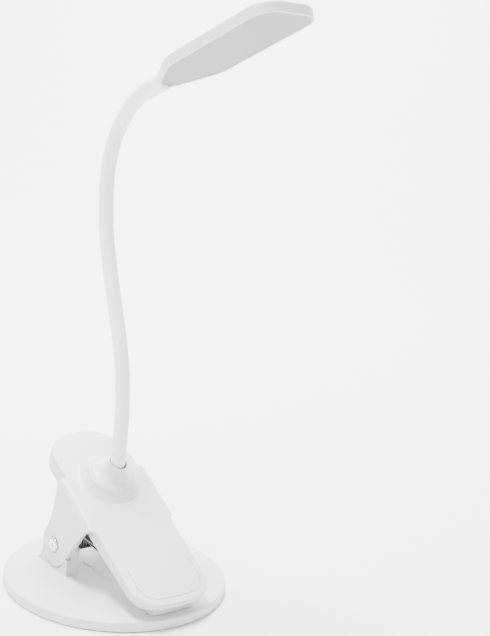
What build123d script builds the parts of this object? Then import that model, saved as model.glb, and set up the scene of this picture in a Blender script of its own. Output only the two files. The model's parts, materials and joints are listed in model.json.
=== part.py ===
from build123d import *
import os
from math import sin, cos, radians, sqrt

# Clip on reading lamp. Millimetres, +Z up. The origin is the centre of the base's underside, where the
# lamp stands. The jaw tip points to -Y, the finger lever to +Y, and the hinge axis runs along X.

# ---- driving dimensions ----
base_radius = 60.0
base_top = 5.8
foot_proud = 0.5
shell_wall = 1.8

pivot_y = 19.2
pivot_z = 18.9
bolt_radius = 2.0
run_gap = 0.08
post_inner = 20.6
ear_inner = 25.6
ear_outer = 28.2
ear_radius = 11.8
pocket_radius = 12.3

deck_slope = 28.8
deck_height = 45.7
deck_width = 47.0
deck_front = -68.4
deck_rear = 54.5
deck_bend_start = 14.0
deck_bend_radius = 315.0
crown = 0.9
lip_depth = 1.9
tray_inset = 0.8
tray_wall = 1.2
socket_s = 15.4

tube_radius = 4.0
core_radius = 2.3
sleeve_bore = 2.4
knuckle_gap = 1.5
ball_radius = 1.5
cup_radius = 1.6

head_pitch = 23.0
head_half_width = 17.4
head_length = 112.0
head_under = -1.4
head_top = 4.2
neck_rise = 2.0

usb_s = -26.0
switch_s = -38.0
port_t = -4.75
switch_t = -4.35

# ---- frames ----
slope = radians(deck_slope)
deck = Plane(origin=(0, 0, deck_height), x_dir=(1, 0, 0), z_dir=(0, -sin(slope), cos(slope)))
side = Plane.YZ
normal_axis = Axis((0, 0, deck_height), deck.z_dir)


def deck_yz(s, t):
    """The (Y, Z) of a point s along the deck's slope and t above it."""
    y = s * cos(slope) - t * sin(slope)
    z = deck_height + s * sin(slope) + t * cos(slope)
    return (y, z)


def bend_yz(s, t):
    """As deck_yz, but following the gentle downward bend of the rear lever."""
    turn = (s - deck_bend_start) / deck_bend_radius
    along = deck_bend_start + (deck_bend_radius + t) * sin(turn)
    above = (deck_bend_radius + t) * cos(turn) - deck_bend_radius
    return deck_yz(along, above)


def deck_plane_at(s, t=0.0):
    y, z = deck_yz(s, t)
    return Plane(origin=(0, y, z), x_dir=(1, 0, 0), z_dir=deck.z_dir)


def save(part, name):
    part.label = name
    export_step(part, f"parts/{name}.step")


os.makedirs("parts", exist_ok=True)

# ======================= base =======================
ballast_radius = 50.0
ballast_thick = 1.8
plate_thick = 1.6
pad_radius = 54.0
pad_recess = 0.5
boss_radius = 3.4
boss_count = 4
boss_ring = 42.0
post_front = 5.5
post_shoulder = 14.7
post_top_radius = 8.0
post_rear = 31.3
post_foot = 37.0
post_centre = pivot_z + 1.0


with BuildSketch() as post_profile:
    with BuildLine():
        Polyline(
            (post_front, base_top - 1.0),
            (post_front, post_centre),
            (pivot_y - post_top_radius * sin(radians(45)), post_centre + post_top_radius * cos(radians(45))),
        )
        ThreePointArc(
            (pivot_y - post_top_radius * sin(radians(45)), post_centre + post_top_radius * cos(radians(45))),
            (pivot_y, post_centre + post_top_radius),
            (pivot_y + post_top_radius, post_centre),
        )
        Line((pivot_y + post_top_radius, post_centre), (post_rear, post_shoulder))
        ThreePointArc((post_rear, post_shoulder), (post_rear + 1.8, 8.6), (post_foot, base_top))
        Polyline(
            (post_foot, base_top),
            (post_foot, base_top - 1.0),
            (post_front, base_top - 1.0),
        )
    make_face()

with BuildPart() as base_cover:
    with BuildSketch(Plane.XY.offset(foot_proud)):
        Circle(base_radius)
    extrude(amount=base_top - foot_proud)
    rim = base_cover.edges().group_by(Axis.Z)[-1]
    chamfer(rim, length=0.45, length2=3.0)
    soft = base_cover.edges().filter_by(GeomType.CIRCLE).group_by(Axis.Z)[1:]
    for ring in soft:
        fillet(ring, 0.8 if ring[0].radius > base_radius - 1 else 2.0)
    with BuildSketch(Plane.XY.offset(foot_proud)):
        Circle(base_radius - 2.2)
    extrude(amount=base_top - foot_proud - shell_wall, mode=Mode.SUBTRACT)
    with BuildSketch(Plane.XY.offset(base_top - shell_wall)):
        with PolarLocations(boss_ring, boss_count, start_angle=45):
            Circle(boss_radius)
    extrude(amount=-(base_top - shell_wall - foot_proud - plate_thick))
    for hand in (-1, 1):
        with BuildSketch(side.offset(hand * post_inner)):
            add(post_profile.sketch)
        extrude(amount=hand * (ear_outer - post_inner))
    for hand in (-1, 1):
        with BuildSketch(side.offset(hand * (ear_inner - 0.25))):
            with Locations((pivot_y, pivot_z)):
                Circle(pocket_radius)
            with BuildLine():
                Polyline(
                    (post_front - 1, post_shoulder),
                    (post_rear + 1, post_shoulder),
                    (post_rear + 1, 40),
                    (post_front - 1, 40),
                    close=True,
                )
            make_face()
        extrude(amount=hand * (ear_outer - ear_inner + 2), mode=Mode.SUBTRACT)
    with BuildSketch(side.offset(-ear_outer)):
        with Locations((pivot_y, pivot_z)):
            Circle(bolt_radius + 0.05)
    extrude(amount=2 * ear_outer, mode=Mode.SUBTRACT)
    with BuildSketch(Plane.XY.offset(foot_proud + plate_thick)):
        with PolarLocations(boss_ring, boss_count, start_angle=45):
            Circle(1.1)
    extrude(amount=2.0, mode=Mode.SUBTRACT)
save(base_cover.part, "base_cover")

with BuildPart() as ballast_plate:
    with BuildSketch(Plane.XY.offset(foot_proud + plate_thick)):
        Circle(ballast_radius)
        with PolarLocations(boss_ring, boss_count, start_angle=45):
            Circle(boss_radius + 0.4, mode=Mode.SUBTRACT)
    extrude(amount=ballast_thick)
    chamfer(ballast_plate.edges().filter_by(GeomType.CIRCLE).group_by(SortBy.RADIUS)[-1], 0.3)
save(ballast_plate.part, "ballast_plate")

with BuildPart() as base_bottom_cover:
    with BuildSketch(Plane.XY.offset(foot_proud)):
        Circle(base_radius - 2.4)
        with PolarLocations(boss_ring, boss_count, start_angle=45):
            Circle(1.3, mode=Mode.SUBTRACT)
    extrude(amount=plate_thick)
    with BuildSketch(Plane.XY.offset(foot_proud)):
        Circle(pad_radius + 0.2)
    extrude(amount=pad_recess, mode=Mode.SUBTRACT)
    with BuildSketch(Plane.XY.offset(foot_proud + pad_recess)):
        with PolarLocations(boss_ring, boss_count, start_angle=45):
            Circle(2.5)
    extrude(amount=0.6, mode=Mode.SUBTRACT)
save(base_bottom_cover.part, "base_bottom_cover")

with BuildPart() as base_pad:
    Cylinder(pad_radius, foot_proud + pad_recess, align=(Align.CENTER, Align.CENTER, Align.MIN))
    chamfer(base_pad.edges().group_by(Axis.Z)[0], 0.25)
save(base_pad.part, "base_pad")

screw_low = foot_proud + pad_recess + 0.05
with BuildPart() as base_screws:
    with BuildSketch(Plane.XY.offset(screw_low)):
        with PolarLocations(boss_ring, boss_count, start_angle=45):
            Circle(2.3)
    extrude(amount=0.5)
    with BuildSketch(Plane.XY.offset(screw_low + 0.5)):
        with PolarLocations(boss_ring, boss_count, start_angle=45):
            Circle(1.05)
    extrude(amount=2.3)
    with BuildSketch(Plane.XY.offset(screw_low)):
        with PolarLocations(boss_ring, boss_count, start_angle=45):
            Rectangle(2.6, 0.5)
            Rectangle(0.5, 2.6)
    extrude(amount=0.3, mode=Mode.SUBTRACT)
save(base_screws.part, "base_screws")

rib_x = 9.2
rib_pieces = 3
with BuildPart() as grip_ribs:
    with BuildSketch(Plane.XY.offset(base_top)):
        for hand in (-1, 1):
            for row in range(rib_pieces):
                with Locations((hand * rib_x, -5.5 + 10.0 * row)):
                    SlotOverall(8.6, 1.3, rotation=90)
    extrude(amount=0.55)
    fillet(grip_ribs.edges().group_by(Axis.Z)[-1], 0.25)
save(grip_ribs.part, "grip_ribs")

# ---- hinge hardware, all on the pivot line ----
bolt_seat = ear_outer - 1.0
head_height = 1.7
pivot_plane = Plane(origin=(0, pivot_y, pivot_z), x_dir=(0, 1, 0), z_dir=(1, 0, 0))

with BuildPart() as pivot_bolt:
    with BuildSketch(pivot_plane.offset(-bolt_seat - 0.6)):
        Circle(bolt_radius)
    extrude(amount=2 * bolt_seat + 3.2)
    with BuildSketch(pivot_plane.offset(-bolt_seat - 0.6)):
        Circle(3.6)
    extrude(amount=-head_height)
    fillet(pivot_bolt.edges().group_by(Axis.X)[0], 0.9)
    with BuildSketch(pivot_plane.offset(-bolt_seat - 0.6 - head_height)):
        Rectangle(3.6, 0.8)
        Rectangle(0.8, 3.6)
    extrude(amount=1.1, taper=12, mode=Mode.SUBTRACT)
save(pivot_bolt.part, "pivot_bolt")

nut_flat = 7.0
nut_seat = bolt_seat + 0.6
dome_radius = 3.1
with BuildPart() as acorn_nut:
    with BuildSketch(pivot_plane.offset(nut_seat)):
        RegularPolygon(nut_flat / 2, 6, major_radius=False)
    extrude(amount=2.4)
    chamfer(acorn_nut.edges().group_by(Axis.X)[-1], 0.35)
    with BuildSketch(Plane(origin=(nut_seat, pivot_y, pivot_z), x_dir=(1, 0, 0), z_dir=(0, -1, 0))):
        with BuildLine():
            Polyline((3.0, dome_radius), (1.5, dome_radius), (1.5, 0), (3.0 + dome_radius, 0))
            RadiusArc((3.0 + dome_radius, 0), (3.0, dome_radius), -dome_radius)
        make_face()
    revolve(axis=Axis((0, pivot_y, pivot_z), (1, 0, 0)))
    with BuildSketch(pivot_plane.offset(nut_seat)):
        Circle(bolt_radius)
    extrude(amount=2.65, mode=Mode.SUBTRACT)
save(acorn_nut.part, "acorn_nut")

with BuildPart() as pivot_washers:
    for start in (-bolt_seat - 0.6, bolt_seat + 0.1):
        with BuildSketch(pivot_plane.offset(start)):
            Circle(3.9)
            Circle(bolt_radius + 0.05, mode=Mode.SUBTRACT)
        extrude(amount=0.5)
save(pivot_washers.part, "pivot_washers")

sleeve_outer = 3.3
with BuildPart() as pivot_sleeve:
    with BuildSketch(pivot_plane.offset(-post_inner + 0.1)):
        Circle(sleeve_outer)
        Circle(bolt_radius + 0.1, mode=Mode.SUBTRACT)
    extrude(amount=2 * (post_inner - 0.1))
    with BuildSketch(pivot_plane.offset(-4.0)):
        Circle(sleeve_outer + 1.6)
        Circle(bolt_radius + 0.1, mode=Mode.SUBTRACT)
    extrude(amount=8.0)
save(pivot_sleeve.part, "pivot_sleeve")

# ---- torsion springs: a coil each side of the hinge line, each with a leg on the base behind it ----
wire_radius = 0.75
coil_radius = 4.5
coil_pitch = 1.62
coil_turns = 5
coil_centre = 9.8
leg_drop = radians(25.0)
coil_inner = coil_centre - (coil_turns - 1) * coil_pitch / 2
coil_outer = coil_centre + (coil_turns - 1) * coil_pitch / 2


with BuildPart() as torsion_springs:
    for hand in (-1, 1):
        for turn in range(coil_turns):
            x = hand * (coil_inner + turn * coil_pitch)
            with BuildSketch(Plane(origin=(x, pivot_y, pivot_z), x_dir=(1, 0, 0), z_dir=(0, -1, 0))):
                with Locations((0, coil_radius)):
                    Circle(wire_radius + 0.07)
            revolve(axis=Axis((0, pivot_y, pivot_z), (1, 0, 0)))
        # the leg leaves the underside of the inner turn and runs back and down to the base
        leg_start = Vector(
            hand * coil_inner,
            pivot_y - coil_radius * sin(leg_drop),
            pivot_z - coil_radius * cos(leg_drop),
        )
        leg_fall = leg_start.Z - base_top - wire_radius * cos(leg_drop) - 0.05
        backward = Vector(0, cos(leg_drop), -sin(leg_drop))
        with BuildSketch(Plane(origin=leg_start, x_dir=(1, 0, 0), z_dir=backward)):
            Circle(wire_radius)
        extrude(amount=leg_fall / sin(leg_drop))
save(torsion_springs.part, "torsion_springs")

# ======================= jaw: housings =======================
half_width = deck_width / 2
flare_start = -17.0
flare_end = -10.0
ear_rear_s = 25.0
crown_radius = (half_width**2 + crown**2) / (2 * crown)
sweep_start = -80.0
sweep_end = 66.0


def crown_height(x):
    """Height of the crowned top over the deck plane at a distance x from the middle."""
    return crown - x**2 / (2 * crown_radius)


def plan_outline(inset):
    """Plan of the long two-lobed deck: a bowed, well rounded front and a rounder rear."""
    with BuildSketch() as plan:
        with BuildLine():
            ThreePointArc(
                (-half_width, deck_front + 3.2),
                (0, deck_front),
                (half_width, deck_front + 3.2),
            )
            Line((half_width, deck_front + 3.2), (half_width, deck_rear - 4.5))
            ThreePointArc(
                (half_width, deck_rear - 4.5),
                (0, deck_rear),
                (-half_width, deck_rear - 4.5),
            )
            Line((-half_width, deck_rear - 4.5), (-half_width, deck_front + 3.2))
        make_face()
        fillet(plan.vertices().group_by(Axis.Y)[0], 14.5)
        fillet(plan.vertices().group_by(Axis.Y)[-1], 18.0)
        if inset:
            offset(amount=-inset, mode=Mode.REPLACE)
    return plan.sketch


with BuildLine(side) as deck_path:
    Line(deck_yz(sweep_start, 0), deck_yz(deck_bend_start, 0))
    ThreePointArc(
        deck_yz(deck_bend_start, 0),
        bend_yz((deck_bend_start + sweep_end) / 2, 0),
        bend_yz(sweep_end, 0),
    )


def crowned_slab(reach, depth, drop, corner):
    """A slab that follows the deck's slope and bend, with a crowned top lowered by drop."""
    start_y, start_z = deck_yz(sweep_start, 0)
    section_plane = Plane(origin=(0, start_y, start_z), x_dir=(-1, 0, 0), z_dir=(0, cos(slope), sin(slope)))
    edge = crown_height(reach) - drop
    with BuildPart() as slab:
        with BuildSketch(section_plane) as section:
            with BuildLine():
                ThreePointArc((-reach, edge), (0, crown - drop), (reach, edge))
                Polyline((reach, edge), (reach, -depth), (-reach, -depth), (-reach, edge))
            make_face()
            if corner:
                fillet(section.vertices().group_by(Axis.Y)[-1], corner)
        sweep(path=deck_path.wires()[0])
    return slab.part


# side outline of the ears: round ends on the hinge, a straight front edge, a waisted back edge
front_lean = radians(55.0)
tangent_y = pivot_y - ear_radius * sin(front_lean)
tangent_z = pivot_z - ear_radius * cos(front_lean)
front_run = 34.0
front_top = (tangent_y - front_run * cos(front_lean), tangent_z + front_run * sin(front_lean))
rear_angle = radians(15.0)
rear_point = (pivot_y + ear_radius * cos(rear_angle), pivot_z + ear_radius * sin(rear_angle))
waist_point = (20.9, 54.0)
with BuildSketch() as ear_profile:
    with BuildLine():
        Polyline(deck_yz(flare_start - 1.5, 8), deck_yz(flare_start - 1.5, -1.7), deck_yz(-12.3, -1.7),
                 (tangent_y, tangent_z))
        ThreePointArc((tangent_y, tangent_z), (pivot_y + 1.0, pivot_z - sqrt(ear_radius**2 - 1)), rear_point)
        ThreePointArc(rear_point, (24.3, 35.0), waist_point)
        Polyline(waist_point, deck_yz(ear_rear_s, 8), deck_yz(flare_start - 1.5, 8))
    make_face()
    arch = ear_profile.vertices().sort_by_distance(deck_yz(-12.3, -1.7))[0]
    fillet(arch, 5.0)

with BuildSketch() as ear_plan:
    with BuildLine():
        for hand in (-1, 1):
            Spline(
                (hand * (half_width - 0.3), flare_start - 1.5),
                (hand * ear_outer, flare_end),
                tangents=((0, 1), (0, 1)),
            )
            Line((hand * ear_outer, flare_end), (hand * ear_outer, 90))
        Line((-half_width + 0.3, flare_start - 1.5), (half_width - 0.3, flare_start - 1.5))
        Line((-ear_outer, 90), (ear_outer, 90))
    make_face()

lobe_slab = crowned_slab(40.0, lip_depth, 0.0, 0)
ear_slab = crowned_slab(ear_outer, 75.0, 0.0, 4.6)
hollow_slab = crowned_slab(40.0, 75.0, shell_wall, 0)

with BuildPart() as lobes:
    add(lobe_slab)
    with BuildSketch(deck.offset(20)):
        add(plan_outline(0))
    extrude(amount=-40, mode=Mode.INTERSECT)
    top_rim = lobes.faces().sort_by(normal_axis)[-1].edges()
    fillet(top_rim, 1.0)

with BuildPart() as ears:
    add(ear_slab)
    with BuildSketch(side.offset(-ear_outer - 1)):
        add(ear_profile.sketch)
    extrude(amount=2 * ear_outer + 2, mode=Mode.INTERSECT)
    with BuildSketch(deck.offset(30)):
        add(ear_plan.sketch)
    extrude(amount=-110, mode=Mode.INTERSECT)

with BuildPart() as lobe_hollow:
    add(hollow_slab)
    with BuildSketch(deck.offset(20)):
        add(plan_outline(shell_wall))
    extrude(amount=-40, mode=Mode.INTERSECT)

collar_radius = 12.0
mound_radius = 20.0
mound_top = 6.0
collar_floor = 4.9
ferrule_radius = 3.4
socket = deck_plane_at(socket_s)
socket_side = Plane(origin=socket.origin, x_dir=(1, 0, 0), z_dir=(0, -cos(slope), -sin(slope)))
socket_axis = Axis(socket.origin, deck.z_dir)
groove_inset = 4.0
groove_width = 0.5
groove_depth = 0.35
groove_end = -43.0

# depths of the tray below the deck plane, and where its four screws and the board's two pins stand
tray_nose_depth = 3.3
tray_front_depth = 5.3
tray_mid_depth = 9.6
tray_rear_depth = 10.6
tray_mid_s = -5.0
screw_sites = ((-17.5, 8.0), (17.5, 8.0), (-17.5, -46.0), (17.5, -46.0))
pin_sites = ((-14.0, -12.0), (14.0, -38.0))


def tray_depth(s):
    """Depth of the tray's underside below the deck plane."""
    if s > tray_mid_s:
        return tray_mid_depth + (s - tray_mid_s) * (tray_rear_depth - tray_mid_depth) / (60 - tray_mid_s)
    return tray_mid_depth + (s - tray_mid_s) * (tray_mid_depth - tray_front_depth) / (tray_mid_s + 62)


# a fine line that follows the front lobe's edge and ends along both sides
with BuildPart() as groove:
    with BuildSketch(deck.offset(6)):
        add(plan_outline(groove_inset))
        add(plan_outline(groove_inset + groove_width), mode=Mode.SUBTRACT)
        with Locations((0, groove_end + 60)):
            Rectangle(80, 120, mode=Mode.SUBTRACT)
    extrude(amount=-12)
    add(crowned_slab(40.0, 75.0, groove_depth, 0), mode=Mode.SUBTRACT)

with BuildPart() as upper_housing:
    add(lobes.part)
    add(ears.part)
    # soft mound that carries the neck collar
    with BuildSketch(socket_side):
        with BuildLine():
            Polyline((12.2, mound_top), (0, mound_top), (0, -0.5), (mound_radius, -0.5), (mound_radius, 0.15))
            Spline(
                (mound_radius, 0.15),
                (13.3, mound_top - 0.9),
                tangents=((-1, 0.03), (-0.5, 0.87)),
            )
            ThreePointArc((13.3, mound_top - 0.9), (12.95, mound_top - 0.3), (12.2, mound_top))
        make_face()
    revolve(axis=socket_axis)
    with BuildSketch(side.offset(-ear_inner)):
        with BuildLine():
            Polyline(deck_yz(-40, -lip_depth), deck_yz(60, -lip_depth), (60, -20), (-60, -20), close=True)
        make_face()
    extrude(amount=2 * ear_inner, mode=Mode.SUBTRACT)
    add(lobe_hollow.part, mode=Mode.SUBTRACT)
    add(groove.part, mode=Mode.SUBTRACT)
    # seat and hole for the neck collar
    with BuildSketch(deck_plane_at(socket_s, collar_floor)):
        Circle(collar_radius + 0.15)
    extrude(amount=2, mode=Mode.SUBTRACT)
    with BuildSketch(deck_plane_at(socket_s, -4)):
        Circle(ferrule_radius + 0.1)
    extrude(amount=11, mode=Mode.SUBTRACT)
    # screw bosses, and two pins that hold the control board
    for x, s in screw_sites:
        boss_low = tray_wall - tray_depth(s) + 0.35
        with BuildSketch(deck_plane_at(0, boss_low)):
            with Locations((x, s)):
                Circle(2.6)
                Circle(0.9, mode=Mode.SUBTRACT)
        extrude(amount=-0.9 - boss_low)
    with BuildSketch(deck_plane_at(0, -3.3)):
        with Locations(*pin_sites):
            Circle(1.2)
    extrude(amount=2.3)
    # hinge holes and the round recesses for the bolt head and the nut
    with BuildSketch(pivot_plane.offset(-ear_outer - 1)):
        Circle(bolt_radius + run_gap)
    extrude(amount=2 * ear_outer + 2, mode=Mode.SUBTRACT)
    for hand in (-1, 1):
        with BuildSketch(pivot_plane.offset(hand * bolt_seat)):
            Circle(4.6)
        extrude(amount=hand * 2, mode=Mode.SUBTRACT)
save(upper_housing.part, "upper_housing")

# ---- lower housing: a tray that closes the deck from below ----
usb_length = 9.1
usb_height = 3.3
switch_travel = 2.5
tray_x = half_width - tray_inset


def tray_side(lift, top):
    """Side outline of the tray, with its underside raised by lift and its upper edge at top."""
    with BuildSketch() as outline:
        with BuildLine():
            Polyline(
                deck_yz(deck_bend_start, top),
                deck_yz(-75, top),
                deck_yz(-75, -tray_nose_depth + lift),
                deck_yz(deck_front + 1.2, -tray_nose_depth + lift),
                deck_yz(-62, -tray_front_depth + lift),
                deck_yz(tray_mid_s, -tray_mid_depth + lift),
                deck_yz(60, -tray_rear_depth + lift),
                bend_yz(60, top),
            )
            ThreePointArc(
                bend_yz(60, top),
                bend_yz((60 + deck_bend_start) / 2, top),
                deck_yz(deck_bend_start, top),
            )
        make_face()
    return outline.sketch


def wall_plane(s, t, x):
    """Plane across the tray's right side: local X runs up the slope, local Y along the deck's normal."""
    y, z = deck_yz(s, t)
    return Plane(origin=(x, y, z), x_dir=(0, cos(slope), sin(slope)), z_dir=(1, 0, 0))


with BuildPart() as tray_hollow:
    with BuildSketch(deck.offset(10)):
        add(plan_outline(tray_inset + tray_wall))
    extrude(amount=-40)
    with BuildSketch(side.offset(-40)):
        add(tray_side(tray_wall, 5.0))
    extrude(amount=80, mode=Mode.INTERSECT)

# the springs' lever legs run forward beside the coils and hook into the tray's floor
lever_leg_x = coil_outer + coil_pitch + 0.05
lever_leg_drop = radians(3.5)
lever_leg_run = 24.0
lever_knee_y = pivot_y - coil_radius * sin(lever_leg_drop) - lever_leg_run * cos(lever_leg_drop)
lever_knee_z = pivot_z + coil_radius * cos(lever_leg_drop) - lever_leg_run * sin(lever_leg_drop)
lever_hole_s = lever_knee_y * cos(slope) + (lever_knee_z - deck_height) * sin(slope)

with BuildPart() as lower_housing:
    with BuildSketch(deck.offset(10)):
        add(plan_outline(tray_inset))
    extrude(amount=-40)
    with BuildSketch(side.offset(-40)):
        add(tray_side(0.0, -lip_depth))
    extrude(amount=80, mode=Mode.INTERSECT)
    add(tray_hollow.part, mode=Mode.SUBTRACT)
    # USB-C opening with its shallow oval surround
    with BuildSketch(wall_plane(usb_s, port_t, tray_x - 0.45)):
        SlotOverall(12.4, 4.1)
    extrude(amount=2, mode=Mode.SUBTRACT)
    with BuildSketch(wall_plane(usb_s, port_t, tray_x - 4)):
        SlotOverall(usb_length + 0.2, usb_height + 0.2)
    extrude(amount=6, mode=Mode.SUBTRACT)
    # slot for the slide switch
    with BuildSketch(wall_plane(switch_s, switch_t, tray_x - 4)):
        Rectangle(6.2, 1.7)
    extrude(amount=6, mode=Mode.SUBTRACT)
    # holes for the lever legs of the springs
    with BuildSketch(deck_plane_at(lever_hole_s, -tray_depth(lever_hole_s) - 1)):
        with Locations((-lever_leg_x, 0), (lever_leg_x, 0)):
            Circle(1.0)
    extrude(amount=3.4, mode=Mode.SUBTRACT)
    # screw holes, sunk from below
    for x, s in screw_sites:
        with BuildSketch(deck_plane_at(0, -tray_depth(s) - 1)):
            with Locations((x, s)):
                Circle(2.4)
        extrude(amount=1.65, mode=Mode.SUBTRACT)
        with BuildSketch(deck_plane_at(0, -tray_depth(s) - 1)):
            with Locations((x, s)):
                Circle(1.2)
        extrude(amount=4, mode=Mode.SUBTRACT)
save(lower_housing.part, "lower_housing")

with BuildPart() as housing_screws:
    for x, s in screw_sites:
        head_low = 0.1 - tray_depth(s)
        with BuildSketch(deck_plane_at(0, head_low)):
            with Locations((x, s)):
                Circle(2.2)
        extrude(amount=0.5)
        with BuildSketch(deck_plane_at(0, head_low + 0.5)):
            with Locations((x, s)):
                Circle(0.88)
        extrude(amount=3.4)
        with BuildSketch(deck_plane_at(0, head_low)):
            with Locations((x, s)):
                Rectangle(2.2, 0.5)
                Rectangle(0.5, 2.2)
        extrude(amount=0.3, mode=Mode.SUBTRACT)
save(housing_screws.part, "housing_screws")

# ---- jaw pad: a rubber wedge between the tray and the base ----
pad_half_width = 13.5
pad_front = -54.6
pad_back = -43.0
with BuildPart() as jaw_pad:
    with BuildSketch(Plane.XY.offset(base_top + 0.02)):
        with Locations((0, (pad_front + pad_back) / 2)):
            RectangleRounded(2 * pad_half_width, pad_back - pad_front, 4.0)
    extrude(amount=30)
    with BuildSketch(side.offset(-40)):
        with BuildLine():
            Polyline(
                deck_yz(-75, -tray_front_depth - 1.0),
                deck_yz(-62, -tray_front_depth - 0.02),
                deck_yz(tray_mid_s, -tray_mid_depth - 0.02),
                (tray_mid_s, -20),
                (-80, -20),
                close=True,
            )
        make_face()
    extrude(amount=80, mode=Mode.INTERSECT)
    fillet(jaw_pad.edges().group_by(Axis.Z)[0], 0.8)
save(jaw_pad.part, "jaw_pad")

# ---- inside the housing ----
board_top = -1.95
board_thick = 0.8
board_under = board_top - board_thick

with BuildPart() as control_board:
    with BuildSketch(deck_plane_at(0, board_top)):
        with Locations((0, -25)):
            Rectangle(36, 34)
        with Locations((0, -52)):
            Rectangle(20, 24)
        with Locations(*pin_sites):
            Circle(1.3, mode=Mode.SUBTRACT)
    extrude(amount=-board_thick)
save(control_board.part, "control_board")

with BuildPart() as board_parts:
    with BuildSketch(deck_plane_at(0, board_under)):
        with Locations((-4, -22)):
            Rectangle(6, 6)
        with Locations((-10, -34), (4, -34)):
            Rectangle(3.2, 1.6)
        with Locations((0, -12)):
            Rectangle(5, 4)
    extrude(amount=-1.2)
save(board_parts.part, "board_parts")

with BuildPart() as usb_c_socket:
    with BuildSketch(wall_plane(usb_s, port_t, tray_x - 8.2)):
        SlotOverall(usb_length - 0.1, usb_height - 0.1)
    extrude(amount=7.4)
    with BuildSketch(wall_plane(usb_s, port_t, tray_x - 7.2)):
        SlotOverall(usb_length - 0.8, usb_height - 0.8)
    extrude(amount=8, mode=Mode.SUBTRACT)
    with BuildSketch(wall_plane(usb_s, port_t, tray_x - 7.4)):
        Rectangle(6.6, 0.7)
    extrude(amount=5.2)
save(usb_c_socket.part, "usb_c_socket")

with BuildPart() as switch_body:
    with BuildSketch(wall_plane(switch_s, switch_t, tray_x - tray_wall - 3.6)):
        Rectangle(8.4, 1.8)
    extrude(amount=3.5)
    with BuildSketch(wall_plane(switch_s, switch_t, tray_x - tray_wall - 2.4)):
        Rectangle(5.4, 1.35)
    extrude(amount=4, mode=Mode.SUBTRACT)
save(switch_body.part, "switch_body")

knob_length = 2.4
with BuildPart() as switch_knob:
    with BuildSketch(wall_plane(switch_s - switch_travel / 2, switch_t, tray_x - tray_wall - 2.3)):
        Rectangle(knob_length, 1.2)
    extrude(amount=4.1)
    chamfer(switch_knob.faces().sort_by(Axis.X)[-1].edges(), 0.2)
save(switch_knob.part, "switch_knob")

touch_s = -58.0
with BuildPart() as touch_electrode:
    with BuildSketch(deck_plane_at(touch_s, board_top)):
        Circle(3.2)
    extrude(amount=0.9)
save(touch_electrode.part, "touch_electrode")

with BuildPart() as charge_light:
    with BuildSketch(wall_plane(usb_s + 9.0, board_under - 0.7, tray_x - 4.6)):
        Rectangle(1.6, 1.2)
    extrude(amount=1.6)
save(charge_light.part, "charge_light")

battery_s = 38.5
with BuildPart() as battery_pack:
    with BuildSketch(deck_plane_at(battery_s, -8.7)):
        RectangleRounded(32, 21, 1.5)
    extrude(amount=3.8)
    fillet(battery_pack.edges().group_by(normal_axis)[-1], 0.8)
save(battery_pack.part, "battery_pack")

# ---- neck collar and its fastening ----
rim_top = 15.0
neck_foot = 5.2
throat_low = 4.5
throat_high = 4.85
with BuildPart() as neck_collar:
    with BuildSketch(socket_side):
        with BuildLine():
            Polyline(
                (throat_low, collar_floor + 0.02),
                (collar_radius, collar_floor + 0.02),
                (collar_radius, mound_top + 0.1),
                (collar_radius - 0.3, mound_top + 0.35),
            )
            Spline(
                (collar_radius - 0.3, mound_top + 0.35),
                (7.7, mound_top + 2.6),
                (throat_high + 0.55, rim_top),
                tangents=((-1, 0.18), (-0.08, 1)),
            )
            Polyline(
                (throat_high + 0.55, rim_top),
                (throat_high, rim_top),
                (throat_low, collar_floor + 2.6),
                (throat_low, collar_floor + 0.02),
            )
        make_face()
    revolve(axis=socket_axis)
save(neck_collar.part, "neck_collar")

nut_top = crown - shell_wall - 0.15
with BuildPart() as neck_ferrule:
    with BuildSketch(deck_plane_at(socket_s, -7.0)):
        Circle(ferrule_radius)
    extrude(amount=14.6)
    with BuildSketch(deck_plane_at(socket_s, collar_floor + 0.1)):
        Circle(throat_low - 0.1)
    extrude(amount=1.4)
    with BuildSketch(deck_plane_at(socket_s, -7.0)):
        Circle(1.6)
    extrude(amount=12.2, mode=Mode.SUBTRACT)
    with BuildSketch(deck_plane_at(socket_s, neck_foot - 0.1)):
        Circle(core_radius + 0.02)
    extrude(amount=3, mode=Mode.SUBTRACT)
save(neck_ferrule.part, "neck_ferrule")

with BuildPart() as neck_lock_nut:
    with BuildSketch(deck_plane_at(socket_s, nut_top)):
        RegularPolygon(5.5, 6, major_radius=False)
        Circle(ferrule_radius + 0.02, mode=Mode.SUBTRACT)
    extrude(amount=-2.6)
save(neck_lock_nut.part, "neck_lock_nut")

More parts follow.
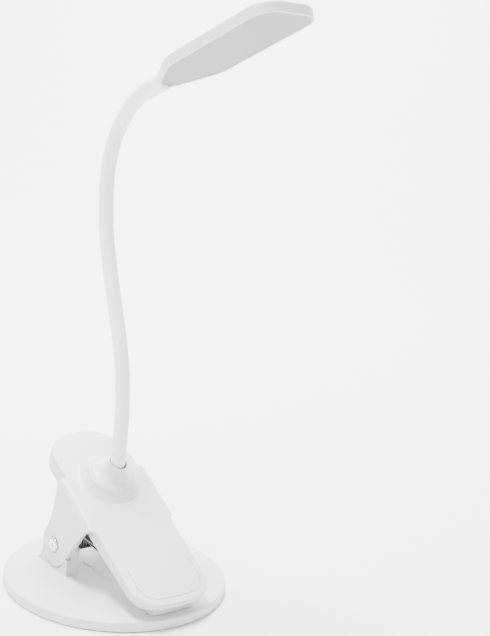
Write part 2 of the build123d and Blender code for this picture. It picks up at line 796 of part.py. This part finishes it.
# the springs' other legs, which pull the jaw down; they turn with the housing
lever_wire = wire_radius - 0.15
with BuildPart() as spring_lever_legs:
    for hand in (-1, 1):
        x = hand * lever_leg_x
        with BuildSketch(Plane(origin=(x, pivot_y, pivot_z), x_dir=(1, 0, 0), z_dir=(0, -1, 0))):
            with Locations((0, coil_radius)):
                Circle(wire_radius - 0.07)
        revolve(axis=Axis((0, pivot_y, pivot_z), (1, 0, 0)))
        # forward from the top of the coil, up through the tray's floor, and a foot inside the tray
        leg_start = Vector(
            x,
            pivot_y - coil_radius * sin(lever_leg_drop),
            pivot_z + coil_radius * cos(lever_leg_drop),
        )
        forward = Vector(0, -cos(lever_leg_drop), -sin(lever_leg_drop))
        knee = leg_start + forward * lever_leg_run
        with BuildSketch(Plane(origin=leg_start, x_dir=(1, 0, 0), z_dir=forward)):
            Circle(lever_wire)
        extrude(amount=lever_leg_run)
        with Locations(knee):
            Sphere(lever_wire)
        foot = Vector(x, *deck_yz(lever_hole_s, tray_wall - tray_depth(lever_hole_s) + lever_wire + 0.05))
        with BuildSketch(Plane(origin=knee, x_dir=(1, 0, 0), z_dir=deck.z_dir)):
            Circle(lever_wire)
        extrude(amount=(foot - knee).length)
        with Locations(foot):
            Sphere(lever_wire)
        with BuildSketch(Plane(origin=foot, x_dir=(1, 0, 0), z_dir=(0, cos(slope), sin(slope)))):
            Circle(lever_wire)
        extrude(amount=3.0)
save(spring_lever_legs.part, "spring_lever_legs")

# ======================= neck =======================
# Length and turn of each run from the collar up; a positive turn, in degrees, leans back to +Y.
neck_runs = (
    (5.85, 0.0),
    (7.04, deck_slope),
    (18.45, 0.0),
    (47.2, 22.0),
    (38.5, 0.0),
    (47.2, -22.0),
    (63.1, -(90.0 - head_pitch)),
    (16.0, 0.0),
)
bend_stations = (22.0, 68.0, 121.5, 171.5, 193.5, 217.5)
sleeve_foot = 2.6
stalk_radius = 0.9
core_stop = 2.6
core_start = 0.4


def neck_point(station):
    """(Y, Z, heading) of the neck's centre line, with the heading in radians from the vertical."""
    y, z = deck_yz(socket_s, neck_foot)
    heading = -slope
    left = station
    for length, turn in neck_runs:
        step = min(left, length)
        half = radians(turn) * step / length / 2
        chord = step * sin(half) / half if half else step
        y += chord * sin(heading + half)
        z += chord * cos(heading + half)
        heading += 2 * half
        left -= step
    return (y, z, heading)


def neck_plane(station, lift=0.0):
    """Plane across the neck at a station, moved straight on by lift."""
    y, z, heading = neck_point(station)
    along = (0, sin(heading), cos(heading))
    return Plane(origin=(0, y, z), x_dir=(1, 0, 0), z_dir=along).offset(lift)


def neck_line(start, end):
    """The neck's centre line between two stations."""
    cuts = [start]
    total = 0.0
    for length, _ in neck_runs:
        total += length
        if start + 0.01 < total < end - 0.01:
            cuts.append(total)
    cuts.append(end)
    with BuildLine(side) as line:
        for low, high in zip(cuts, cuts[1:]):
            first, middle, last = (neck_point(at) for at in (low, (low + high) / 2, high))
            if abs(first[2] - last[2]) < 0.001:
                Line(first[:2], last[:2])
            else:
                ThreePointArc(first[:2], middle[:2], last[:2])
    return line.wires()[0]


def neck_tube(start, end, outer, bore):
    """A tube, or a rod if bore is 0, that follows the neck between two stations."""
    with BuildPart() as tube:
        with BuildSketch(neck_plane(start)):
            Circle(outer)
            if bore:
                Circle(bore, mode=Mode.SUBTRACT)
        sweep(path=neck_line(start, end))
    return tube.part


def neck_ball(station):
    """The ball at the top of a core, on its thin stalk."""
    with BuildPart() as ball:
        with BuildSketch(neck_plane(station, -core_stop - 0.3)):
            Circle(stalk_radius)
        extrude(amount=core_stop + 0.3)
        with Locations(neck_plane(station)):
            Sphere(ball_radius)
    return ball.part


with BuildPart() as neck_root_sleeve:
    add(neck_tube(sleeve_foot, bend_stations[0] - knuckle_gap, tube_radius, sleeve_bore))
save(neck_root_sleeve.part, "neck_root_sleeve")

with BuildPart() as neck_root_core:
    add(neck_tube(0.0, bend_stations[0] - core_stop, core_radius, 0))
    add(neck_ball(bend_stations[0]))
save(neck_root_core.part, "neck_root_core")

for number, (low, high) in enumerate(zip(bend_stations, bend_stations[1:]), start=1):
    with BuildPart() as neck_sleeve:
        add(neck_tube(low + knuckle_gap, high - knuckle_gap, tube_radius, sleeve_bore))
    save(neck_sleeve.part, f"neck_sleeve_{number}")
    with BuildPart() as neck_core:
        add(neck_tube(low - core_start, high - core_stop, core_radius, 0))
        add(neck_ball(high))
        with Locations(neck_plane(low)):
            Sphere(cup_radius, mode=Mode.SUBTRACT)
    save(neck_core.part, f"neck_core_{number}")

# ======================= head =======================
head_station = sum(length for length, _ in neck_runs[:-1])
boot_start = 223.2
boot_radius = 4.8
shell_start = 13.0
core_end = 15.0
last_bend = bend_stations[-1]

with BuildPart() as head_sleeve:
    add(neck_tube(last_bend + knuckle_gap, head_station + 5.0, tube_radius, sleeve_bore))
save(head_sleeve.part, "head_sleeve")

with BuildPart() as head_core:
    add(neck_tube(last_bend - core_start, head_station + core_end, core_radius, 0))
    with Locations(neck_plane(last_bend)):
        Sphere(cup_radius, mode=Mode.SUBTRACT)
save(head_core.part, "head_core")

with BuildPart() as head_boot:
    add(neck_tube(boot_start, head_station + shell_start - 0.05, boot_radius, 0))
    fillet(head_boot.faces().sort_by(Axis.Z)[0].edges(), 0.5)
    add(neck_tube(boot_start - 1, head_station + 5.1, tube_radius + 0.02, 0), mode=Mode.SUBTRACT)
    add(neck_tube(boot_start, head_station + shell_start, core_radius + 0.05, 0), mode=Mode.SUBTRACT)
save(head_boot.part, "head_boot")

neck_top = neck_plane(head_station)
pitch = radians(head_pitch)
head_normal = Vector(0, sin(pitch), cos(pitch))
head = Plane(origin=neck_top.origin - head_normal * neck_rise, x_dir=neck_top.z_dir, z_dir=head_normal)
shell_side_wall = 1.1
shell_top_wall = 1.2
ledge = 1.5
glass_start = 15.6
cavity_start = 17.4


def head_outline(inset, start):
    """Plan of the head: a paddle that widens from the neck to a rounded end."""
    with BuildSketch() as plan:
        with BuildLine():
            for hand in (-1, 1):
                shoulder = (43.0, hand * head_half_width)
                Line((head_length - 0.8, hand * head_half_width), shoulder)
                swell = TangentArc(shoulder, (33.5, hand * 15.2), tangent=(-1, 0))
                Line(swell @ 1, (shell_start, hand * 4.9))
            Line((shell_start, -4.9), (shell_start, 4.9))
            ThreePointArc(
                (head_length - 0.8, -head_half_width),
                (head_length, 0),
                (head_length - 0.8, head_half_width),
            )
        make_face()
        fillet(plan.vertices().group_by(Axis.X)[-1], 11.0)
        fillet(plan.vertices().group_by(Axis.X)[0], 1.6)
        if inset:
            offset(amount=-inset, mode=Mode.REPLACE)
        if start:
            with Locations((start - 50, 0)):
                Rectangle(100, 60, mode=Mode.SUBTRACT)
    return plan.sketch


def head_plate(inset, start, low, high):
    """A flat plate of the head's plan between two heights."""
    with BuildPart() as plate:
        with BuildSketch(head.offset(low)):
            add(head_outline(inset, start))
        extrude(amount=high - low)
    return plate.part


head_axis = Axis(head.origin, head.z_dir)
neck_axis = Axis(neck_top.origin, neck_top.z_dir)
heel_length = 6.0

with BuildPart() as head_shell:
    add(head_plate(0, 0, head_under, head_top))
    fillet(head_shell.faces().sort_by(head_axis)[-1].edges(), 1.5)
    # rounded heel that carries the neck's end under the shell
    with BuildSketch(Plane(origin=neck_top.origin, x_dir=head.x_dir, z_dir=head.y_dir)):
        with BuildLine():
            Spline(
                (shell_start, boot_radius - 0.1),
                (shell_start + heel_length, 0),
                tangents=((1, 0), (0, -1)),
            )
            Polyline((shell_start, boot_radius - 0.1), (shell_start, 0), (shell_start + heel_length, 0))
        make_face()
    revolve(axis=neck_axis)
    add(head_plate(shell_side_wall, glass_start, -5.0, -0.1), mode=Mode.SUBTRACT)
    add(head_plate(shell_side_wall + ledge, cavity_start, -0.2, head_top - shell_top_wall), mode=Mode.SUBTRACT)
    add(neck_tube(head_station + 5, head_station + core_end + 0.05, core_radius + 0.02, 0), mode=Mode.SUBTRACT)
save(head_shell.part, "head_shell")

with BuildPart() as diffuser:
    add(head_plate(shell_side_wall + 0.08, glass_start + 0.08, -1.15, -0.15))
save(diffuser.part, "diffuser")

with BuildPart() as diffusing_film:
    add(head_plate(shell_side_wall + ledge + 0.1, cavity_start + 0.1, -0.1, 0.15))
save(diffusing_film.part, "diffusing_film")

led_size = (2.8, 1.8)
led_pitch = 7.0
led_rows = 13.0
led_middle = 65.0
with BuildPart() as reflector_sheet:
    add(head_plate(shell_side_wall + ledge + 0.1, cavity_start + 0.1, 1.5, 1.8))
    with BuildSketch(head.offset(1.0)):
        with Locations((led_middle, 0)):
            with GridLocations(led_pitch, led_rows, 11, 2):
                Rectangle(led_size[0] + 0.5, led_size[1] + 0.5)
    extrude(amount=1.2, mode=Mode.SUBTRACT)
save(reflector_sheet.part, "reflector_sheet")

with BuildPart() as leds:
    with BuildSketch(head.offset(1.2)):
        with Locations((led_middle, 0)):
            with GridLocations(led_pitch, led_rows, 11, 2):
                Rectangle(*led_size)
    extrude(amount=0.65)
save(leds.part, "leds")

with BuildPart() as led_board:
    add(head_plate(shell_side_wall + ledge + 0.1, cavity_start + 0.1, 1.9, 2.9))
save(led_board.part, "led_board")
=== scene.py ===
import json
import math

import bpy
from mathutils import Matrix, Vector


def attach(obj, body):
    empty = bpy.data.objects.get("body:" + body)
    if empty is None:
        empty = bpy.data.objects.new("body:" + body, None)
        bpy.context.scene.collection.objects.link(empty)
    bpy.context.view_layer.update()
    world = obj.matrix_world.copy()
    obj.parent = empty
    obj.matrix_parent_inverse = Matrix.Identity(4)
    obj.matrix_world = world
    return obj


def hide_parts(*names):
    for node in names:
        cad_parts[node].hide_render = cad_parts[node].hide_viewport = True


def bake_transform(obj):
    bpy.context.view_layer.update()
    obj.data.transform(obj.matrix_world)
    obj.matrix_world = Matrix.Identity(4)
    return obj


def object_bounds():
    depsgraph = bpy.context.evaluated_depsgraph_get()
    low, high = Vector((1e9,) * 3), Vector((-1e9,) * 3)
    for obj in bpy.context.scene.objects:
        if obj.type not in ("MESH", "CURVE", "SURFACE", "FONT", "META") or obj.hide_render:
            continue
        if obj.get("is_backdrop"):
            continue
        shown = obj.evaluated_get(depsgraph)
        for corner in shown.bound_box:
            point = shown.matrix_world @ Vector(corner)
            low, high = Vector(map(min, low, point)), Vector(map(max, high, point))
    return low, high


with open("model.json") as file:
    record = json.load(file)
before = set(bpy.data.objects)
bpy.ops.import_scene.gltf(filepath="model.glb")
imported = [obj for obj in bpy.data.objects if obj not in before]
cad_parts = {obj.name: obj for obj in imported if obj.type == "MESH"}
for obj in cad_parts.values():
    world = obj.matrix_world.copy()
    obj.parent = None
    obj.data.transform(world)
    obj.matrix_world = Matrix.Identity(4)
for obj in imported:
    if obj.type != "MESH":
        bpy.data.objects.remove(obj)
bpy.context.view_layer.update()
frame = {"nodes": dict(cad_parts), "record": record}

MM = 0.001
SLOPE = math.radians(28.8)
DECK_HEIGHT = 45.7  # of the deck plane over the floor, in mm, at s = 0
RECORD = frame["record"]
NODE_SLOT = {entry["node"]: entry["material_slot"] for entry in RECORD["subparts"]}


# ---------------------------------------------------------------- materials
def new_material(name):
    made = bpy.data.materials.new(name)
    made.use_nodes = True
    nodes = made.node_tree.nodes
    shader = nodes["Principled BSDF"]
    return made, nodes, made.node_tree.links, shader


def grain(nodes, links, shader, scale, strength, distance):
    """A fine moulded or cast texture: noise in object coordinates that drives a bump."""
    coords = nodes.new("ShaderNodeTexCoord")
    noise = nodes.new("ShaderNodeTexNoise")
    noise.inputs["Scale"].default_value = scale
    noise.inputs["Detail"].default_value = 3.0
    bump = nodes.new("ShaderNodeBump")
    bump.inputs["Strength"].default_value = strength
    bump.inputs["Distance"].default_value = distance
    links.new(coords.outputs["Object"], noise.inputs["Vector"])
    links.new(noise.outputs["Fac"], bump.inputs["Height"])
    links.new(bump.outputs["Normal"], shader.inputs["Normal"])
    return coords, noise


def vary(nodes, links, coords, socket, low, high, scale):
    """Slow variation of one shader value between low and high."""
    noise = nodes.new("ShaderNodeTexNoise")
    noise.inputs["Scale"].default_value = scale
    noise.inputs["Detail"].default_value = 2.0
    ramp = nodes.new("ShaderNodeMapRange")
    ramp.inputs["From Min"].default_value = 0.3
    ramp.inputs["From Max"].default_value = 0.7
    ramp.inputs["To Min"].default_value = low
    ramp.inputs["To Max"].default_value = high
    links.new(coords.outputs["Object"], noise.inputs["Vector"])
    links.new(noise.outputs["Fac"], ramp.inputs["Value"])
    links.new(ramp.outputs["Result"], socket)


def plastic(name, color, rough, bump, scale=2600.0):
    made, nodes, links, shader = new_material(name)
    shader.inputs["Base Color"].default_value = (*color, 1)
    shader.inputs["Roughness"].default_value = rough
    shader.inputs["IOR"].default_value = 1.5
    coords, _ = grain(nodes, links, shader, scale, bump, 0.00008)
    vary(nodes, links, coords, shader.inputs["Roughness"], rough - 0.04, rough + 0.04, 35.0)
    return made


def metal(name, color, rough, stretch=None, bump=0.05):
    made, nodes, links, shader = new_material(name)
    shader.inputs["Base Color"].default_value = (*color, 1)
    shader.inputs["Metallic"].default_value = 1.0
    shader.inputs["Roughness"].default_value = rough
    coords, noise = grain(nodes, links, shader, 900.0, bump, 0.00005)
    if stretch:
        mapping = nodes.new("ShaderNodeMapping")
        mapping.inputs["Scale"].default_value = stretch
        links.new(coords.outputs["Object"], mapping.inputs["Vector"])
        links.new(mapping.outputs["Vector"], noise.inputs["Vector"])
    vary(nodes, links, coords, shader.inputs["Roughness"], max(rough - 0.05, 0.02), rough + 0.05, 120.0)
    return made


MATERIALS = {
    "white_plastic": plastic("white_plastic", (0.60, 0.60, 0.597), 0.42, 0.10),
    "neck_silicone": plastic("neck_silicone", (0.80, 0.80, 0.795), 0.52, 0.08, 1800.0),
    "pad_rubber": plastic("pad_rubber", (0.55, 0.55, 0.545), 0.75, 0.25, 3200.0),
    # painted shade: the diffuser's dark grey stands in for the shade on the head's downward face
    "diffuser_plastic": plastic("diffuser_plastic", (0.25, 0.25, 0.25), 0.55, 0.06, 4000.0),
    "reflector_white": plastic("reflector_white", (0.88, 0.88, 0.88), 0.5, 0.05),
    "black_plastic": plastic("black_plastic", (0.012, 0.012, 0.013), 0.45, 0.15),
    "board_green": plastic("board_green", (0.02, 0.16, 0.05), 0.3, 0.1, 1500.0),
    "board_white": plastic("board_white", (0.85, 0.85, 0.83), 0.3, 0.1, 1500.0),
    "clear_light": plastic("clear_light", (0.88, 0.78, 0.42), 0.25, 0.03),
    "nut_chrome": metal("nut_chrome", (0.80, 0.81, 0.83), 0.08, None, 0.02),
    "screw_steel": metal("screw_steel", (0.62, 0.62, 0.63), 0.25),
    # painted shade: the springs' near-black colour stands in for the deep shade in the gap around them
    "spring_steel": metal("spring_steel", (0.09, 0.09, 0.095), 0.30, None, 0.04),
    "ballast_steel": metal("ballast_steel", (0.50, 0.51, 0.52), 0.38, (1, 12, 1)),
    "core_steel": metal("core_steel", (0.42, 0.42, 0.43), 0.35),
    "ferrule_brass": metal("ferrule_brass", (0.70, 0.52, 0.25), 0.28),
    "battery_foil": metal("battery_foil", (0.72, 0.73, 0.75), 0.32),
}
MARK = plastic("touch_mark_grey", (0.66, 0.66, 0.66), 0.5, 0.05)


def paint(obj, slot):
    obj.data.materials.clear()
    obj.data.materials.append(MATERIALS[slot])


for node_name, node in frame["nodes"].items():
    paint(node, NODE_SLOT[node_name])


# ---------------------------------------------------------------- geometry helpers
def mesh_object(name, verts, faces, slot):
    mesh = bpy.data.meshes.new(name)
    mesh.from_pydata([tuple(v) for v in verts], [], faces)
    mesh.update()
    mesh.polygons.foreach_set("use_smooth", [True] * len(mesh.polygons))
    obj = bpy.data.objects.new(name, mesh)
    bpy.context.scene.collection.objects.link(obj)
    paint(obj, slot)
    return obj


def tube(name, points, radii, slot, sides=40, caps=True, up=Vector((1, 0, 0))):
    """A tube through the points, with a radius at each; the frame is carried along the line."""
    verts, faces = [], []
    count = len(points)
    across = up
    for i, point in enumerate(points):
        ahead = points[min(i + 1, count - 1)] - points[max(i - 1, 0)]
        ahead.normalize()
        across = (across - ahead * across.dot(ahead)).normalized()
        third = ahead.cross(across)
        for k in range(sides):
            turn = 2 * math.pi * k / sides
            verts.append(point + (across * math.cos(turn) + third * math.sin(turn)) * radii[i])
    for i in range(count - 1):
        for k in range(sides):
            a, b = i * sides + k, i * sides + (k + 1) % sides
            faces.append((a, b, b + sides, a + sides))
    if caps:
        faces.append(tuple(reversed(range(sides))))
        faces.append(tuple(range((count - 1) * sides, count * sides)))
    return mesh_object(name, verts, faces, slot)


def deck_point(s, t, x=0.0):
    """A point s up the deck's slope, t above the deck plane and x to the side, in millimetres."""
    return Vector((
        x,
        s * math.cos(SLOPE) - t * math.sin(SLOPE),
        DECK_HEIGHT + s * math.sin(SLOPE) + t * math.cos(SLOPE),
    )) * MM


# ---------------------------------------------------------------- the neck's line
# lengths are in mm and turns in degrees; a station is a length along the line, from the root
NECK_ROOT = (15.4, 5.2)
NECK_RADIUS = 4.0
RUNS = (
    (5.85, 0.0), (7.04, 28.8), (18.45, 0.0), (47.2, 22.0),
    (38.5, 0.0), (47.2, -22.0), (63.1, -67.0), (16.0, 0.0),
)
BENDS = (22.0, 68.0, 121.5, 171.5, 193.5, 217.5)
SEAMS = (2.7, 45.0, 95.0, 146.5, 182.5, 205.5, 225.7)
SLEEVES = (
    "neck_root_sleeve", "neck_sleeve_1", "neck_sleeve_2",
    "neck_sleeve_3", "neck_sleeve_4", "neck_sleeve_5",
)
RING_STEP = 0.8
MAX_REACH, HEAD_REACH = 14.0, 5.0


def neck_point(station):
    start = deck_point(*NECK_ROOT)
    y, z, heading, left = start.y / MM, start.z / MM, -SLOPE, station
    for length, turn in RUNS:
        step = min(left, length)
        half = math.radians(turn) * step / length / 2
        chord = step * math.sin(half) / half if half else step
        y += chord * math.sin(heading + half)
        z += chord * math.cos(heading + half)
        heading += 2 * half
        left -= step
    return Vector((0, y, z)) * MM


for number, bend in enumerate(BENDS):
    low, high = SEAMS[number], SEAMS[number + 1]
    steps = max(int((high - low) / RING_STEP), 8)
    line = [neck_point(low + (high - low) * k / steps) for k in range(steps + 1)]
    radii = [NECK_RADIUS * MM] * len(line)
    sleeve = tube(f"neck_skin_{number + 1}", line, radii, "neck_silicone", 48, caps=False)
    reach = min(bend - low, high - bend, MAX_REACH) - 1.0
    if number == 5:
        reach = HEAD_REACH
    neck_point(bend - reach)
    neck_point(bend + reach)
    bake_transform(sleeve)
    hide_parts(SLEEVES[number])
    if number == 5:
        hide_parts("head_sleeve")


# ---------------------------------------------------------------- torsion springs as real helices
PIVOT = Vector((0, 19.2, 18.9)) * MM
COIL_RADIUS, WIRE, PITCH, TURNS, COIL_X = 4.5 * MM, 0.75 * MM, 1.62 * MM, 5, 9.8 * MM
LEVER_WIRE = 0.6 * MM
BASE_TOP = 5.8 * MM
FLOOR_INNER = -7.58  # the tray floor's inner face, where the lever legs hook over it
COIL_SPAN = (TURNS - 1) * PITCH
GAP = 0.05
BASE_LEG_DROP = math.radians(25.0)
LEVER_LEG_FALL = math.radians(3.5)
LEVER_LEG_RUN, FOOT_RUN = 24.0, 3.0
LEVER_LEG_BEND = 1.2


def coil_point(x, angle):
    return Vector((x, PIVOT.y - COIL_RADIUS * math.sin(angle), PIVOT.z + COIL_RADIUS * math.cos(angle)))


def rounded(corners, radius):
    """The corners joined by straight runs, with each inner corner rounded off."""
    points = [corners[0]]
    for before, corner, after in zip(corners, corners[1:], corners[2:]):
        near = corner + (before - corner).normalized() * radius
        far = corner + (after - corner).normalized() * radius
        for k in range(9):
            share = k / 8
            points.append(near * (1 - share) ** 2 + corner * (2 * share * (1 - share)) + far * share ** 2)
    points.append(corners[-1])
    return points


for hand, label in ((-1, "left"), (1, "right")):
    # the base leg rises from the base behind the hinge into the inner turn, and the coil winds outwards
    drop = BASE_LEG_DROP
    first_x = hand * (COIL_X - COIL_SPAN / 2)
    start = coil_point(first_x, math.pi - drop)
    backward = Vector((0, math.cos(drop), -math.sin(drop)))
    run = (start.z - BASE_TOP - WIRE * math.cos(drop) - GAP * MM) / math.sin(drop)
    points = [start + backward * (run * (1 - k / 12)) for k in range(13)]
    steps = 40 * TURNS
    for k in range(1, steps + 1):
        share = k / steps
        angle = math.pi - drop - share * 2 * math.pi * TURNS
        points.append(coil_point(first_x + hand * share * (TURNS - 0.4) * PITCH, angle))
    coil = tube(f"spring_coil_{label}", points, [WIRE] * len(points), "spring_steel", 14)
    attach(coil, "base")
    if hand < 0:
        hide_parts("torsion_springs")
    # the lever leg runs forward beside the coil and hooks up into the tray's floor
    fall = LEVER_LEG_FALL
    leg_x = hand * (COIL_X + COIL_SPAN / 2 + PITCH + GAP * MM)
    points = [coil_point(leg_x + hand * GAP * MM, fall - 1.5 * math.pi * (1 - k / 24)) for k in range(24)]
    begin = coil_point(leg_x, fall)
    knee = begin + Vector((0, -math.cos(fall), -math.sin(fall))) * (LEVER_LEG_RUN * MM)
    hook_s = (knee.y * math.cos(SLOPE) + (knee.z - DECK_HEIGHT * MM) * math.sin(SLOPE)) / MM
    hook_top = FLOOR_INNER + LEVER_WIRE / MM + GAP
    corner = deck_point(hook_s, hook_top, leg_x / MM)
    tip = deck_point(hook_s + FOOT_RUN, hook_top, leg_x / MM)
    points += rounded([begin, knee, corner, tip], LEVER_LEG_BEND * MM)
    leg = tube(f"spring_leg_{label}", points, [LEVER_WIRE] * len(points), "spring_steel", 14)
    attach(leg, "jaw")
    if hand < 0:
        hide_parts("spring_lever_legs")

# ---------------------------------------------------------------- touch mark on the front lobe
MARK_S, MARK_RADII, MARK_SIDES, MARK_RISE = -58.0, (1.75, 2.1), 48, 0.03
CROWN, CROWN_SPREAD = 0.9, 614.7  # the deck's top is at t = CROWN - x * x / CROWN_SPREAD
ring, faces = [], []
for k in range(MARK_SIDES):
    turn = 2 * math.pi * k / MARK_SIDES
    for radius in MARK_RADII:
        x, s = radius * math.cos(turn), MARK_S + radius * math.sin(turn)
        ring.append(deck_point(s, CROWN - x * x / CROWN_SPREAD + MARK_RISE, x))
    a, b = 2 * k, 2 * ((k + 1) % MARK_SIDES)
    faces.append((a, a + 1, b + 1, b))
mark = mesh_object("touch_mark", ring, faces, "white_plastic")
mark.data.materials.clear()
mark.data.materials.append(MARK)
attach(mark, "jaw")

# ---------------------------------------------------------------- camera
CAMERA_PLACE = (0, -0.613, 0.2835)
FOCAL_PIXELS, PHOTO_HEIGHT, SENSOR = 1200.0, 636.0, 36.0
yaw, pitch, roll, turn = (math.radians(v) for v in (5.22, 12.0, 5.99, -35.0))
forward = Vector((math.sin(yaw) * math.cos(pitch), math.cos(yaw) * math.cos(pitch), -math.sin(pitch)))
right = Vector((math.cos(yaw), -math.sin(yaw), 0))
above = right.cross(forward)
tilted_right = right * math.cos(roll) + above * math.sin(roll)
tilted_up = above * math.cos(roll) - right * math.sin(roll)
spin = Matrix.Rotation(turn, 3, "Z")
axes = Matrix((spin @ tilted_right, spin @ tilted_up, -(spin @ forward))).transposed()
camera_data = bpy.data.cameras.new("camera")
camera_data.sensor_width = SENSOR
camera_data.lens = FOCAL_PIXELS * SENSOR / PHOTO_HEIGHT
camera = bpy.data.objects.new("camera", camera_data)
bpy.context.scene.collection.objects.link(camera)
camera.matrix_world = Matrix.Translation(spin @ Vector(CAMERA_PLACE)) @ axes.to_4x4()
camera_data.clip_start, camera_data.clip_end = 0.02, 30.0
bpy.context.scene.camera = camera

# ---------------------------------------------------------------- floor and light
# a pale round sweep: a flat floor that curves up into a wall all round the lamp
FLAT, SWEEP, WALL_TOP, FLOOR_DROP, ROUND = 1.0, 0.8, 2.6, 0.0001, 96
view_dir = (spin @ Vector((math.sin(yaw), math.cos(yaw), 0))).normalized()
profile = [(0.25, 0.0), (FLAT, 0.0)]
for step in range(1, 13):
    rise = step * math.pi / 24
    profile.append((FLAT + SWEEP * math.sin(rise), SWEEP - SWEEP * math.cos(rise)))
profile.append((FLAT + SWEEP, WALL_TOP))
verts = [Vector((0, 0, -FLOOR_DROP))]
for along, height in profile:
    for k in range(ROUND):
        angle = 2 * math.pi * k / ROUND
        verts.append(Vector((along * math.cos(angle), along * math.sin(angle), height - FLOOR_DROP)))
faces = [(0, 1 + k, 1 + (k + 1) % ROUND) for k in range(ROUND)]
for ring_number in range(len(profile) - 1):
    first = 1 + ring_number * ROUND
    for k in range(ROUND):
        near, after = first + k, first + (k + 1) % ROUND
        faces.append((near, near + ROUND, after + ROUND, after))
floor_mesh = bpy.data.meshes.new("floor")
floor_mesh.from_pydata([tuple(v) for v in verts], [], faces)
floor_mesh.polygons.foreach_set("use_smooth", [True] * len(faces))
floor = bpy.data.objects.new("floor", floor_mesh)
bpy.context.scene.collection.objects.link(floor)
pale, _, _, pale_shader = new_material("pale_floor")
pale_shader.inputs["Base Color"].default_value = (0.84, 0.84, 0.84, 1)
pale_shader.inputs["Roughness"].default_value = 0.8
pale_shader.inputs["Specular IOR Level"].default_value = 0.1
floor_mesh.materials.append(pale)
floor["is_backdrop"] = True

world = bpy.data.worlds.new("studio")
bpy.context.scene.world = world
world.use_nodes = True
world.node_tree.nodes["Background"].inputs["Color"].default_value = (1, 1, 1, 1)
world.node_tree.nodes["Background"].inputs["Strength"].default_value = 0.12


def area_light(name, where, aim, size, power):
    data = bpy.data.lights.new(name, "AREA")
    data.shape = "DISK"
    data.size = size
    data.energy = power
    lamp = bpy.data.objects.new(name, data)
    bpy.context.scene.collection.objects.link(lamp)
    lamp.location = where
    lamp.rotation_mode = "QUATERNION"
    lamp.rotation_quaternion = (Vector(aim) - Vector(where)).to_track_quat("-Z", "Y")
    return lamp


centre = Vector((0.0, 0.0, 0.12))
area_light("softbox", (-0.14, 0.2, 1.28), centre, 0.4, 60.0)
area_light("left_fill", (-0.55, -0.1, 0.50), Vector((0.0, -0.04, 0.29)), 0.25, 3.0)
wall_place = view_dir * 0.8 + Vector((0, 0, 1.5))
area_light("wall_light", wall_place, view_dir * 1.7 + Vector((0, 0, 0.3)), 0.8, 100.0)

low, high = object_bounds()
